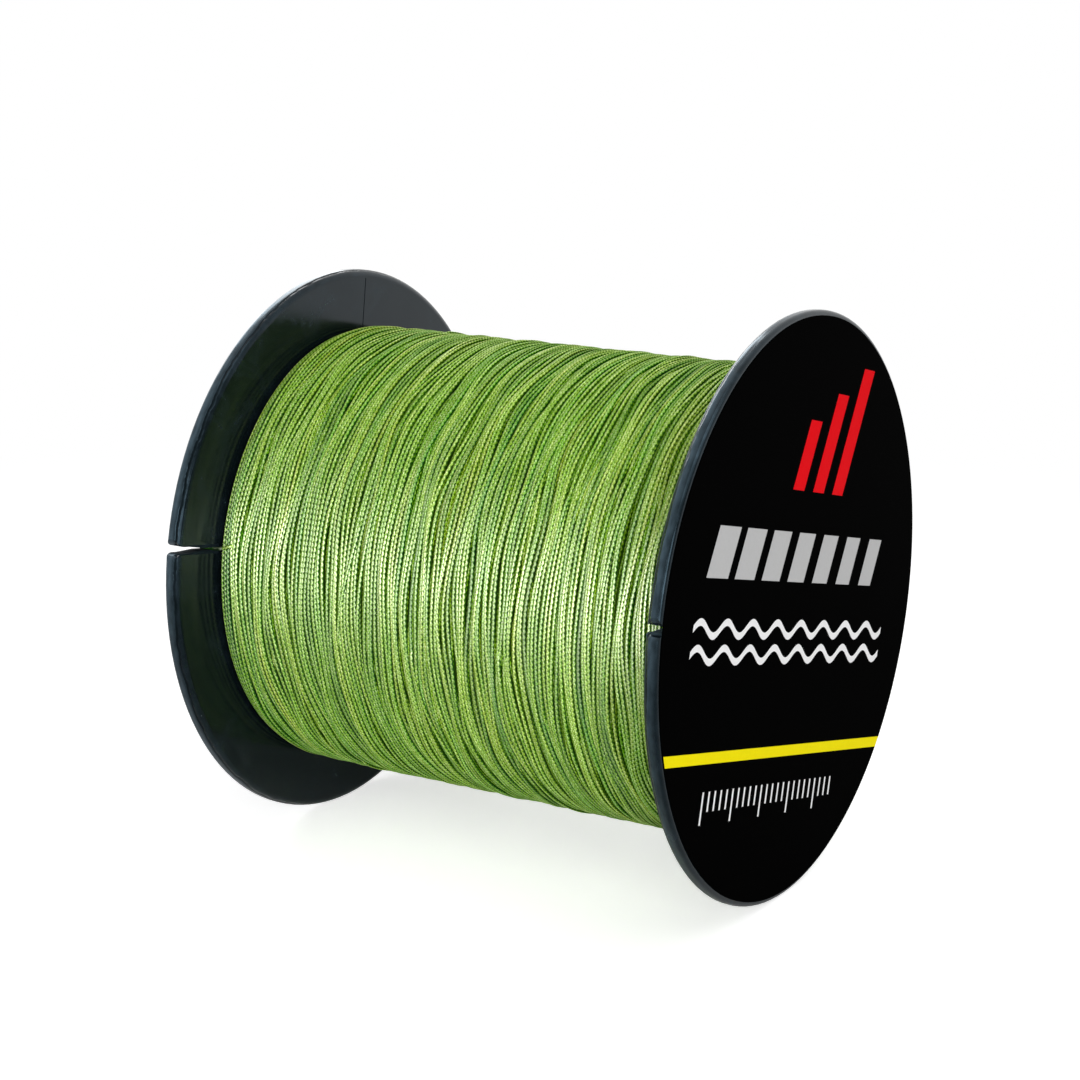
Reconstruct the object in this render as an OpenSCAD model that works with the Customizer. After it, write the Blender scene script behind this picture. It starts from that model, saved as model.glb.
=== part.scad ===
// Fishing line spool: a two-part moulded plastic spool, wound full of braided line.
// The axis lies along Y with the labelled front towards -Y, and the origin is the middle of the bore.
// Angles about the axis run from +X towards +Z. All sizes are in millimetres.

/* [Spool] */
// Length over both flanges
spool_l = 64; // [48:1:90]
// Diameter of the flanges
flange_d = 68; // [66:1:90]
// Thickness of a flange
flange_t = 1.8; // [1.6:0.1:3]
// Rounding of a flange's outer edge
edge_r = 0.5; // [0.3:0.1:0.6]
// Rounding of a flange's edge on the side of the winding
inner_edge_r = 0.9; // [0.3:0.1:0.9]
// Outer diameter of the drum that the line is wound on
drum_d = 42.5; // [32:0.5:46]
// Wall of the drum
drum_wall = 1.6; // [1.2:0.1:2.4]

/* [Hub] */
// Diameter of the bore for a spindle
bore_d = 10.4; // [6:0.2:14]
// Wall of the hub tube round the bore
hub_wall = 1.6; // [1.2:0.1:2]
// Chamfer at the mouth of the bore
bore_chamfer = 0.5; // [0.2:0.1:0.6]
// Number of webs between the hub tube and the drum
web_count = 6; // [3:1:8]
// Thickness of a web
web_t = 1.2; // [0.8:0.1:2]
// Width of the sunk ring round the mouth of the bore
sunk_ring_w = 4.2; // [2:0.2:4.2]
// Depth of the sunk ring
sunk_ring_t = 0.4; // [0.2:0.1:0.6]
// Distance of the moulding gate from the axis
gate_r = 15; // [14:0.5:20]
// Diameter of the dimple round the gate mark
gate_dimple_d = 4; // [3:0.5:5]
// Diameter of the gate mark
gate_mark_d = 1.2; // [0.8:0.1:2]

/* [Joint between the halves] */
// Length of the spigot that enters the rear half
spigot_l = 6; // [5:0.5:9]
// Wall of the spigot
spigot_wall = 1.4; // [1:0.1:2]
// Length of the thick root that joins the spigot to the front half's drum
spigot_root_l = 4; // [3:0.5:8]
// Clearance round the spigot, on the radius
spigot_gap = 0.08; // [0.05:0.01:0.15]
// Height of the snap bead on the spigot
bead_h = 0.25; // [0.15:0.05:0.4]
// Clearance of the snap bead in its groove
bead_gap = 0.05; // [0.03:0.01:0.1]
// Distance of the snap bead from the plane where the halves meet
bead_y = 1.6; // [1.2:0.1:1.8]
// Length that the rear half's webs reach into the spigot's notches
key_l = 2.5; // [1.5:0.5:2.5]
// Clearance on each side of a web in its notch
key_gap = 0.15; // [0.1:0.05:0.3]

/* [Line slits] */
// Direction of the slits about the axis
slit_angle = 171; // [100:0.5:260]
// Distance of a slit's inner end beyond the wound line
slit_clear = 0.35; // [0.3:0.05:0.6]
// Width of a slit at the rim
slit_mouth_w = 0.8; // [0.6:0.1:1.6]
// Width of a slit where it grips the line
slit_grip_w = 0.3; // [0.3:0.02:0.5]
// Length of the wide mouth
mouth_l = 2; // [1.2:0.1:2.4]
// Length of the taper behind the mouth
taper_l = 2.8; // [2:0.1:3.4]
// Rounding of the mouth's corners
mouth_r = 1.1; // [0.3:0.1:1.2]
// Direction of the fine moulding seam on a flange's inner face
seam_angle = 83; // [40:1:160]
// Width of the seam
seam_w = 0.15; // [0.1:0.01:0.4]
// Depth of the seam
seam_t = 0.1; // [0.05:0.01:0.2]
// Distance of the seam's ends from the drum and from the rim
seam_margin = 1; // [0.8:0.1:2]

/* [Label] */
// Distance of the label's edge from the rounded edge of the flange
label_margin = 0.1; // [0:0.1:4]
// Thickness of the label
label_t = 0.12; // [0.08:0.02:0.3]

/* [Line] */
// Diameter over the wound line
wind_d = 54.4; // [52:0.2:56]
// Fall of the winding's radius at its two ends
end_fall = 0.8; // [0.4:0.1:1.2]
// Length of each rounded end of the winding
end_l = 3; // [2:0.5:5]
// Clearance between the wound line and a flange
end_gap = 0.3; // [0.2:0.05:0.6]
// Width of the braided line, which lies flat
line_w = 0.42; // [0.3:0.02:0.5]
// Thickness of the line
line_t = 0.23; // [0.16:0.01:0.26]
// Share of the winding that the flat turns fill
line_fill = 0.92; // [0.8:0.01:0.95]
// Number of loops that the outer layer is drawn with, each for the turns that lie side by side in it
loop_count = 24; // [12:1:24]
// Gap between neighbouring loops
loop_gap = 0.5; // [0.45:0.05:0.8]
// Thickness of the outer layer
layer_t = 0.9; // [0.6:0.1:1.2]
// Clearance between the outer layer and the layers under it
layer_gap = 0.06; // [0.04:0.01:0.1]
// Angle before the slit at which the line's end leaves the winding
tail_sweep = 14; // [12:1:30]

/* [Arbor tape] */
// Width of the tape that holds the line's start on the drum
tape_w = 12; // [8:1:18]
// Thickness of the tape
tape_t = 0.1; // [0.06:0.02:0.2]
// Clearance over and under the tape
tape_gap = 0.02; // [0.01:0.01:0.05]
// Distance from the tape to the front flange
tape_from_flange = 8; // [4:1:12]
// Angle that the tape covers round the drum
tape_turn = 345; // [180:5:355]

/* [Hidden] */
$fn = 180;

black_plastic = [0.10, 0.11, 0.12];
label_black = [0.02, 0.02, 0.02];
tape_cream = [0.85, 0.80, 0.62];
line_green = [0.47, 0.60, 0.28];
line_deep_green = [0.34, 0.50, 0.18];

// A cut reaches this far past the face that it opens.
cut = 1;
// Shapes that grow together into one solid reach this far into each other.
weld = 0.3;

half_l = spool_l / 2;
inner_face = half_l - flange_t;
flange_r = flange_d / 2;
drum_r = drum_d / 2;
drum_in_r = drum_r - drum_wall;
bore_r = bore_d / 2;
hub_r = bore_r + hub_wall;
spigot_r = drum_in_r - spigot_gap;
spigot_in_r = spigot_r - spigot_wall;
notch_l = key_l + 2 * key_gap;
slit_end_r = wind_d / 2 + slit_clear;
label_r = flange_r - edge_r - label_margin;

// Points of an arc about [x, y], from angle a to angle b.
function arc(x, y, r, a, b, steps = 6) =
    [for (i = [0:steps]) let (t = a + (b - a) * i / steps) [x + r * cos(t), y + r * sin(t)]];

// A half is drawn with its flange's outer face at Z = 0 and its drum upwards.
// These two stand what is drawn that way on the spool's axis.
module rear_side() {
    translate([0, half_l, 0]) rotate([90, 0, 0]) children();
}

module front_side() {
    mirror([0, 1, 0]) rear_side() children();
}

// Stands what is drawn about Z on the spool's axis, with Z becoming +Y.
module on_axis() {
    mirror([0, 1, 0]) rotate([90, 0, 0]) children();
}

// Repeats a shape between the slit's direction and the next web's, for every web.
module at_webs() {
    for (i = [0:web_count - 1])
        rotate([0, 0, slit_angle + 360 * (i + 0.5) / web_count]) children();
}

// Tube about Z.
module tube(r_out, r_in, z0, z1) {
    difference() {
        translate([0, 0, z0]) cylinder(r = r_out, h = z1 - z0);
        translate([0, 0, z0 - cut]) cylinder(r = r_in, h = z1 - z0 + 2 * cut);
    }
}

// Round plate with both edges of its rim rounded.
module flange_plate() {
    rotate_extrude()
        polygon(concat(
            [[0, 0]],
            arc(flange_r - edge_r, edge_r, edge_r, -90, 0),
            arc(flange_r - inner_edge_r, flange_t - inner_edge_r, inner_edge_r, 0, 90, 8),
            [[0, flange_t]]));
}

// One side of a line slit along X: rounded mouth corner, wide mouth, taper, then the gripping part.
slit_side = concat(
    [[flange_r + cut, slit_mouth_w / 2 + mouth_r]],
    arc(flange_r - mouth_r, slit_mouth_w / 2 + mouth_r, mouth_r, 0, -90),
    [[flange_r - mouth_l, slit_mouth_w / 2],
     [flange_r - mouth_l - taper_l, slit_grip_w / 2],
     [slit_end_r, slit_grip_w / 2]]);

module line_slit() {
    n = len(slit_side);
    other_side = [for (i = [1:n]) [slit_side[n - i][0], -slit_side[n - i][1]]];
    rotate([0, 0, slit_angle]) translate([0, 0, -cut]) {
        linear_extrude(flange_t + 2 * cut) polygon(concat(slit_side, other_side));
        translate([slit_end_r, 0, 0]) cylinder(d = slit_grip_w, h = flange_t + 2 * cut);
    }
}

// Fine line that the mould leaves on the flange's inner face.
module seam() {
    start = drum_r + seam_margin;
    rotate([0, 0, seam_angle])
        translate([start, -seam_w / 2, flange_t - seam_t])
        cube([flange_r - seam_margin - start, seam_w, seam_t + cut]);
}

// What both halves share: flange, drum, hub tube, bore, slit, seam, and webs up to the height web_top.
module half_body(web_top) {
    base = flange_t / 2;
    difference() {
        union() {
            flange_plate();
            tube(drum_r, drum_in_r, base, half_l);
            tube(hub_r, bore_r, base, half_l);
            at_webs()
                translate([hub_r - weld, -web_t / 2, base])
                cube([drum_in_r - hub_r + 2 * weld, web_t, web_top - base]);
        }
        translate([0, 0, -cut]) cylinder(r = bore_r, h = half_l + 2 * cut);
        line_slit();
        seam();
    }
}

// Ring of triangular section that stands h proud of the radius r: the snap bead, or its groove.
module snap_ring(r, h) {
    z = half_l + bead_y;
    rotate_extrude()
        polygon([[r - weld, z - h - weld], [r + h, z], [r - weld, z + h + weld]]);
}

// Front half, with the notched spigot that plugs into the rear half's drum.
module front_half() {
    root_z = half_l - spigot_root_l;
    notch_w = web_t + 2 * key_gap;
    color(black_plastic)
        front_side()
        difference() {
            union() {
                half_body(root_z + weld);
                tube(drum_in_r + weld, spigot_in_r, root_z, half_l);
                tube(spigot_r, spigot_in_r, root_z, half_l + spigot_l);
                snap_ring(spigot_r, bead_h);
            }
            at_webs()
                translate([spigot_in_r - cut, -notch_w / 2, half_l + spigot_l - notch_l])
                cube([spigot_wall + bead_h + 2 * cut, notch_w, notch_l + cut]);
        }
}

// Dimple with the small round mark where the plastic was fed into the mould.
module gate_dimple() {
    rotate([0, 0, slit_angle + 180]) translate([gate_r, 0, 0])
        difference() {
            translate([0, 0, -cut]) cylinder(d = gate_dimple_d, h = cut + sunk_ring_t);
            translate([0, 0, sunk_ring_t / 2]) cylinder(d = gate_mark_d, h = sunk_ring_t);
        }
}

// Rear half: its drum is the socket for the spigot, and its webs enter the notches.
module rear_half() {
    color(black_plastic)
        rear_side()
        difference() {
            half_body(half_l - spigot_l + key_l);
            translate([0, 0, 2 * half_l]) mirror([0, 0, 1]) snap_ring(drum_in_r, bead_h + bead_gap);
            translate([0, 0, -cut]) cylinder(r = bore_r + sunk_ring_w, h = cut + sunk_ring_t);
            translate([0, 0, sunk_ring_t - cut])
                cylinder(r1 = bore_r + bore_chamfer + cut, r2 = bore_r, h = bore_chamfer + cut);
            gate_dimple();
        }
}

// Round printed label, stuck on the front flange over the bore.
module front_label() {
    color(label_black)
        translate([0, -half_l, 0]) rotate([90, 0, 0]) cylinder(r = label_r, h = label_t);
}

// Tape round the drum, which keeps the slippery line's first turns from sliding.
tape_y = -inner_face + tape_from_flange;

module arbor_tape() {
    color(tape_cream)
        on_axis()
        rotate([0, 0, slit_angle])
        rotate_extrude(angle = tape_turn)
        translate([drum_r + tape_gap, tape_y]) square([tape_t, tape_w]);
}

// Half the length of the winding, and its outer radius at the place y along it.
wind_half = inner_face - end_gap;
function wind_r(y) = wind_d / 2 - end_fall * pow(max(0, (abs(y) - wind_half + end_l) / end_l), 2);

// The outer layer's loops have this many rings each, so their flat sides dip inside its radius.
loop_rings = 24;
side_dip = cos(180 / loop_rings);

// All the layers under the outer one, as one closed ring round the drum and the tape.
module line_inner_layers() {
    steps = 5;
    ys = concat(
        [for (i = [0:steps]) -wind_half + end_l * i / steps],
        [for (i = [0:steps]) wind_half - end_l + end_l * i / steps]);
    over_drum = drum_r + tape_gap;
    over_tape = over_drum + tape_t + tape_gap;
    tape_top = tape_y + tape_w + tape_gap;
    tape_bottom = tape_y - tape_gap;
    color(line_deep_green)
        on_axis()
        rotate_extrude()
        polygon(concat(
            [for (y = ys) [(wind_r(y) - layer_t) * side_dip - layer_gap, y]],
            [[over_drum, wind_half], [over_drum, tape_top], [over_tape, tape_top],
             [over_tape, tape_bottom], [over_drum, tape_bottom], [over_drum, -wind_half]]));
}

// Closed tube through rings of points, each with the same number of points.
module swept(rings) {
    n = len(rings[0]);
    last = len(rings) - 1;
    polyhedron(
        points = [for (ring = rings) each ring],
        faces = concat(
            [for (k = [1:n - 2]) [0, k, k + 1]],
            [for (i = [0:last - 1], k = [0:n - 1])
                let (a = i * n + k, b = i * n + (k + 1) % n)
                each [[a, a + n, b + n], [a, b + n, b]]],
            [for (k = [1:n - 2]) [last * n, last * n + k + 1, last * n + k]]));
}

function round_axis(r, angle, y) = [r * cos(angle), y, r * sin(angle)];
function along_turn(angle) = [-sin(angle), 0, cos(angle)];

// Outer layer: one unbroken strip, wound from the front flange to the rear one.
// Its section has six points, each as [share of half the width, share of the thickness].
strip_section = [[-1, 0.45], [-0.7, 0], [0.7, 0], [1, 0.45], [0.55, 1], [-0.55, 1]];
strip_w = (2 * wind_half - loop_count * loop_gap) / (loop_count + 1);
strip_pitch = strip_w + loop_gap;
strip_end = slit_angle - tail_sweep;
last_ring = loop_count * loop_rings;
strip_end_y = wind_half - strip_w / 2;

function strip_angle(i) = strip_end - 360 * (last_ring - i) / loop_rings;
function strip_ring(i) = [for (p = strip_section)
    let (y = strip_end_y - strip_pitch * (last_ring - i) / loop_rings + p[0] * strip_w / 2)
    round_axis(wind_r(y) - layer_t * (1 - p[1]), strip_angle(i), y)];
// At each end the strip runs on straight, for its own width.
function moved(ring, by) = [for (p = ring) p + by];
strip_rings = concat(
    [moved(strip_ring(0), -strip_w * along_turn(strip_end))],
    [for (i = [0:last_ring]) strip_ring(i)],
    [moved(strip_ring(last_ring), strip_w * along_turn(strip_end))]);

module line_outer_layer() {
    color(line_green) swept(strip_rings);
}

// Least distance between the points of the strip and those that lie about one loop further on.
strip_gap = min([for (i = [0:last_ring + 2 - loop_rings], d = [-2:2])
    let (other = strip_rings[min(last_ring + 2, i + loop_rings + d)])
    min([for (p = strip_rings[i], q = other) norm(p - q)])]);

// The line's end: it leaves the strip's end, crosses to the rear slit and is trimmed in it.
tail_start = round_axis(wind_r(strip_end_y) - layer_t / 2, strip_end, strip_end_y)
    + strip_w * along_turn(strip_end);
tail_in_slit = round_axis(slit_end_r, slit_angle, inner_face);
tail_end_gap = 0.02;
tail_steps = 16;
function bezier(a, b, c, d, t) =
    pow(1 - t, 3) * a + 3 * pow(1 - t, 2) * t * b + 3 * (1 - t) * t * t * c + pow(t, 3) * d;
tail_path = concat(
    [for (i = [0:tail_steps])
        bezier(tail_start, tail_start + 2 * along_turn(strip_end),
               tail_in_slit - [0, 0.8, 0], tail_in_slit, i / tail_steps)],
    [round_axis(slit_end_r, slit_angle, half_l - flange_t / 2),
     round_axis(slit_end_r, slit_angle, half_l - tail_end_gap)]);

function unit(v) = v / norm(v);
// Eight points round the path at its point i, square to it.
function tail_ring(i) =
    let (ahead = tail_path[min(i + 1, len(tail_path) - 1)],
         behind = tail_path[max(i - 1, 0)],
         outwards = round_axis(1, slit_angle, 0),
         side = unit(cross(ahead - behind, outwards)),
         up = unit(cross(side, ahead - behind)))
    [for (k = [0:7]) tail_path[i] + (side * cos(45 * k) + up * sin(45 * k)) * line_t / 2];

module line_tail() {
    color(line_green) swept([for (i = [0:len(tail_path) - 1]) tail_ring(i)]);
}

// Metres of line that the winding holds: the space that turns fill, over the line's oval section.
wound_space = PI * (pow(wind_d / 2, 2) - pow(drum_r, 2)) * 2 * wind_half * PI / 4 * line_fill;
line_length = wound_space / (PI / 4 * line_w * line_t) / 1000;
echo(str("outer layer: least gap to itself ", strip_gap, " mm; line on the spool: ", line_length, " m"));

front_half();
rear_half();
front_label();
arbor_tape();
line_inner_layers();
line_outer_layer();
line_tail();
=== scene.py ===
"""Looks of a fishing line spool: black moulded halves, a printed label and braided green line.

The axis lies along Y with the labelled front towards -Y. Angles about the axis run from +X towards +Z.
"""

import bmesh
import bpy
import numpy as np
from mathutils import Matrix, Vector


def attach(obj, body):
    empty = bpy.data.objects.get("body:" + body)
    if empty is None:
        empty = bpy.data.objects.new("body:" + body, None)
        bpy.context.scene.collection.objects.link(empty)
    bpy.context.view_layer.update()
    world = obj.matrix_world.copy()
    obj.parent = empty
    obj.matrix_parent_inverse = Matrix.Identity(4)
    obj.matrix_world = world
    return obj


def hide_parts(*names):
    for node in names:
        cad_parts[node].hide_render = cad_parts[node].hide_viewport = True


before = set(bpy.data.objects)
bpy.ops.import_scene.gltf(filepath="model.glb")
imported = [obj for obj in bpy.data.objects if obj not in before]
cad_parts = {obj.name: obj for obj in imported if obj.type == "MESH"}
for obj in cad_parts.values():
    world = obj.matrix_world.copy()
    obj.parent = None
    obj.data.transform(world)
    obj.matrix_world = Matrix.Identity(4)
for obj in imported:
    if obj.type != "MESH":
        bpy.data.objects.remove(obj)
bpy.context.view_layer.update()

MM = 0.001

# ---------------------------------------------------------------- camera
# The camera stands to the left of the labelled end and a little above the axis, close enough
# for a clear perspective: the near flange shows a tenth larger than the far one.
LENS_MM = 79.4
SENSOR_MM = 36
CLIP = (0.01, 50)
CAMERA_PLACE = (-239.30, -140.05, 69.68)
CAMERA_RIGHT = (0.51315, -0.85822, 0.01188)
CAMERA_UP = (0.19208, 0.12832, 0.97295)
CAMERA_BACK = (-0.83653, -0.49699, 0.23069)

camera = bpy.data.objects.new("camera", bpy.data.cameras.new("camera"))
bpy.context.scene.collection.objects.link(camera)
camera.data.lens = LENS_MM
camera.data.sensor_width = SENSOR_MM
camera.data.clip_start, camera.data.clip_end = CLIP
turn = Matrix((CAMERA_RIGHT, CAMERA_UP, CAMERA_BACK)).transposed().to_4x4()
camera.matrix_world = Matrix.Translation(Vector(CAMERA_PLACE) * MM) @ turn
bpy.context.scene.camera = camera
bpy.context.scene.view_settings.view_transform = "Standard"

# ---------------------------------------------------------------- studio
# A white paper floor in an even studio, with a broad soft light overhead, a softbox beside the camera
# and a weaker one behind. A strip lamp at the left, seen by the top turns alone, draws the band of
# glints along them. Glossy pieces mirror a white room that is dark behind the camera.
FLOOR_Z = -34.0
FLOOR_REACH = 4000.0
FLOOR_COLOUR = "#e6e6e6"
FLOOR_LIFT = 0.62
SHADOW_REACH = (0.10, 0.26)
WORLD_FILL = 0.15
OVERHEAD_FROM = (-0.30, -0.40, 0.87)
OVERHEAD_POWER = 1.06
OVERHEAD_ANGLE = 0.9
SOFTBOX_PLACE = (-456.0, -418.0, 127.0)
SOFTBOX_SIZE = (420.0, 320.0)
SOFTBOX_POWER = 2.35
STRIP_PLACE = (-620.0, -180.0, 45.0)
STRIP_SIZE = (700.0, 240.0)
STRIP_POWER = 335.0
BACK_PLACE = (300.0, 420.0, 300.0)
BACK_SIZE = 400.0
BACK_POWER = 1.5
DARK_SIDE = (-0.56, -0.82, -0.05)
DARK_REACH = (0.45, 0.80)
DARK_LEVEL = 0.12


def linear(colour):
    """Linear RGBA of an sRGB hex colour: c / 12.92 up to 0.04045, else ((c + 0.055) / 1.055) ^ 2.4."""
    c = np.array([int(colour[i:i + 2], 16) for i in (1, 3, 5)]) / 255
    return (*np.where(c <= 0.04045, c / 12.92, ((c + 0.055) / 1.055) ** 2.4), 1.0)


def add(tree, kind, inputs=(), out=0, stops=(), **settings):
    """Adds a node with its settings, fills its inputs with values or links, and gives its output.
    stops are a colour ramp's places and colours."""
    made = tree.nodes.new("ShaderNode" + kind)
    for name, value in settings.items():
        setattr(made, name, value)
    for place, colour in stops[1:-1]:
        made.color_ramp.elements.new(place)
    for i, (place, colour) in enumerate(stops):
        made.color_ramp.elements[i].position = place
        made.color_ramp.elements[i].color = colour
    for key, value in dict(inputs).items():
        if isinstance(value, bpy.types.NodeSocket):
            tree.links.new(value, made.inputs[key])
        else:
            made.inputs[key].default_value = value
    return made.outputs[out] if len(made.outputs) else made


def material(name):
    """A new node material without nodes, and its tree."""
    made = bpy.data.materials.new(name)
    made.use_nodes = True
    made.node_tree.nodes.clear()
    return made, made.node_tree


def solid(name, points, faces):
    """A mesh object at the origin from points in millimetres, its faces turned outwards."""
    mesh = bpy.data.meshes.new(name)
    mesh.from_pydata((np.asarray(points) * MM).tolist(), [], [list(map(int, f)) for f in faces])
    shape = bmesh.new()
    shape.from_mesh(mesh)
    bmesh.ops.recalc_face_normals(shape, faces=shape.faces)
    shape.to_mesh(mesh)
    shape.free()
    made = bpy.data.objects.new(name, mesh)
    bpy.context.scene.collection.objects.link(made)
    return made


corners = [(-FLOOR_REACH, -FLOOR_REACH, FLOOR_Z), (FLOOR_REACH, -FLOOR_REACH, FLOOR_Z),
           (FLOOR_REACH, FLOOR_REACH, FLOOR_Z), (-FLOOR_REACH, FLOOR_REACH, FLOOR_Z)]
floor = solid("studio_floor", corners, [(0, 1, 2, 3)])

paper, tree = material("studio_floor_white_paper")
seen = add(tree, "LightPath", out="Is Camera Ray")
mirrored = add(tree, "LightPath", out="Is Glossy Ray")
through = add(tree, "LightPath", out="Is Transmission Ray")
shown = add(tree, "Math", {0: seen, 1: mirrored}, operation="MAXIMUM")
shown = add(tree, "Math", {0: shown, 1: through}, operation="MAXIMUM")
place = add(tree, "TexCoord", out="Object")
away = add(tree, "VectorMath", {0: place}, out="Value", operation="LENGTH")
away = add(tree, "MapRange", {"Value": away, "From Min": SHADOW_REACH[0], "From Max": SHADOW_REACH[1]},
           interpolation_type="SMOOTHSTEP")
white = add(tree, "Math", {0: away, 1: shown}, operation="MULTIPLY")
matt = add(tree, "BsdfDiffuse", {"Color": linear(FLOOR_COLOUR)})
glow = add(tree, "Emission", {"Color": (1, 1, 1, 1), "Strength": 1.0})
lift = add(tree, "Math", {0: seen, 1: FLOOR_LIFT}, operation="MULTIPLY")
lift = add(tree, "Emission", {"Color": (1, 1, 1, 1), "Strength": lift})
matt = add(tree, "AddShader", {0: matt, 1: lift})
both = add(tree, "MixShader", {0: white, 1: matt, 2: glow})
add(tree, "OutputMaterial", {"Surface": both})
floor.data.materials.append(paper)

world = bpy.data.worlds.new("studio")
world.use_nodes = True
bpy.context.scene.world = world
tree = world.node_tree
tree.nodes.clear()
seen = add(tree, "LightPath", out="Is Camera Ray")
mirrored = add(tree, "LightPath", out="Is Glossy Ray")
through = add(tree, "LightPath", out="Is Transmission Ray")
way = add(tree, "TexCoord", out="Generated")
way = add(tree, "VectorMath", {0: way, 1: DARK_SIDE}, out="Value", operation="DOT_PRODUCT")
lit = add(tree, "MapRange", {"Value": way, "From Min": DARK_REACH[0], "From Max": DARK_REACH[1],
                             "To Min": 1.0, "To Max": DARK_LEVEL}, interpolation_type="SMOOTHSTEP")
mirrored = add(tree, "Math", {0: mirrored, 1: lit}, operation="MULTIPLY")
shown = add(tree, "Math", {0: seen, 1: mirrored}, operation="MAXIMUM")
shown = add(tree, "Math", {0: shown, 1: through}, operation="MAXIMUM")
level = add(tree, "MapRange", {"Value": shown, "To Min": WORLD_FILL, "To Max": 1.0})
sky = add(tree, "Background", {"Color": (1, 1, 1, 1), "Strength": level})
add(tree, "OutputWorld", {"Surface": sky})

overhead = bpy.data.objects.new("overhead", bpy.data.lights.new("overhead", "SUN"))
overhead.data.energy = OVERHEAD_POWER
overhead.data.angle = OVERHEAD_ANGLE
overhead.rotation_euler = Vector(OVERHEAD_FROM).to_track_quat("Z", "Y").to_euler()
bpy.context.scene.collection.objects.link(overhead)

softbox = bpy.data.objects.new("softbox", bpy.data.lights.new("softbox", "AREA"))
softbox.data.shape = "RECTANGLE"
softbox.data.size, softbox.data.size_y = (side * MM for side in SOFTBOX_SIZE)
softbox.data.energy = SOFTBOX_POWER
softbox.location = Vector(SOFTBOX_PLACE) * MM
softbox.rotation_euler = softbox.location.to_track_quat("Z", "Y").to_euler()
bpy.context.scene.collection.objects.link(softbox)

back = bpy.data.objects.new("back", bpy.data.lights.new("back", "AREA"))
back.data.size = BACK_SIZE * MM
back.data.energy = BACK_POWER
back.location = Vector(BACK_PLACE) * MM
back.rotation_euler = back.location.to_track_quat("Z", "Y").to_euler()
bpy.context.scene.collection.objects.link(back)

strip = bpy.data.objects.new("strip", bpy.data.lights.new("strip", "AREA"))
strip.data.shape = "RECTANGLE"
strip.data.size, strip.data.size_y = (side * MM for side in STRIP_SIZE)
strip.data.energy = STRIP_POWER
strip.location = Vector(STRIP_PLACE) * MM
strip.rotation_euler = strip.location.to_track_quat("Z", "Y").to_euler()
strip.visible_diffuse = False
in_strip_light = bpy.data.collections.new("line_in_strip_light")
strip.light_linking.receiver_collection = in_strip_light
bpy.context.scene.collection.objects.link(strip)

# ---------------------------------------------------------------- moulded halves
# The two halves are injection moulded in black polystyrene from polished tools, and snap together
# inside the drum. The surface is glossy, and has faint flow waves, handling marks and a little dust.
PLASTIC_BLACK = "#0b1215"
PLASTIC_SCUFF = "#182127"
GLOSS_BLUE = "#bde6ff"
DUST_PALE = "#8d9896"
POLYSTYRENE_IOR = 1.59
ROUGHNESS_POLISHED = 0.17
ROUGHNESS_SCUFFED = 0.34
WAVE_DEPTH_MM = 0.08
FLOW_WAVE_MM = 9.0
RIM_WAVE_MM = 7.0
RIM_WAVE_SQUEEZE = 14.0
RIM_WAVE_SHARE = 0.35
SCUFF_MM = 4.0
SCUFF_REACH = (0.5, 0.78)
DUST_CELL_MM = 2.6
DUST_SPECK_MM = 0.075
DUST_SPECK_CORE = 0.6
DUST_PATCH_MM = 7.0
DUST_PATCH_REACH = (0.5, 0.6)
SLIT_ANGLE = 171.0
SLIT_ALONG = (np.cos(np.radians(SLIT_ANGLE)), 0.0, np.sin(np.radians(SLIT_ANGLE)))
SLIT_ACROSS = (-SLIT_ALONG[2], 0.0, SLIT_ALONG[0])
SLIT_FROM_MM = 26.5
SLIT_HALF_MM = 0.55
RIM_FROM_MM = 33.25
RIM_DULL_LEVEL = 0.25
RIM_MOTTLE_MM = 1.6
RIM_MOTTLE_SQUEEZE = 3.0
RIM_MOTTLE_REACH = (0.38, 0.62)
RIM_MOTTLE_LEVEL = 0.62
PARTING_Y = 30.66
PARTING_HALF_MM = (0.04, 0.17)
PARTING_WANDER_MM = 0.14
PARTING_WANDER_LENGTH_MM = 3.0
PARTING_WANDER_REACH = (0.3, 0.7)
PARTING_DEPTH_MM = 0.07
PARTING_LEVEL = 0.15
# Each half's gleam off the rim, and where across its rim the polish is dull and where it is whole.
POLISH = (("front_half", 1.0, 31.8, 31.0), ("rear_half", 0.14, 30.7, 31.3))

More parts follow.
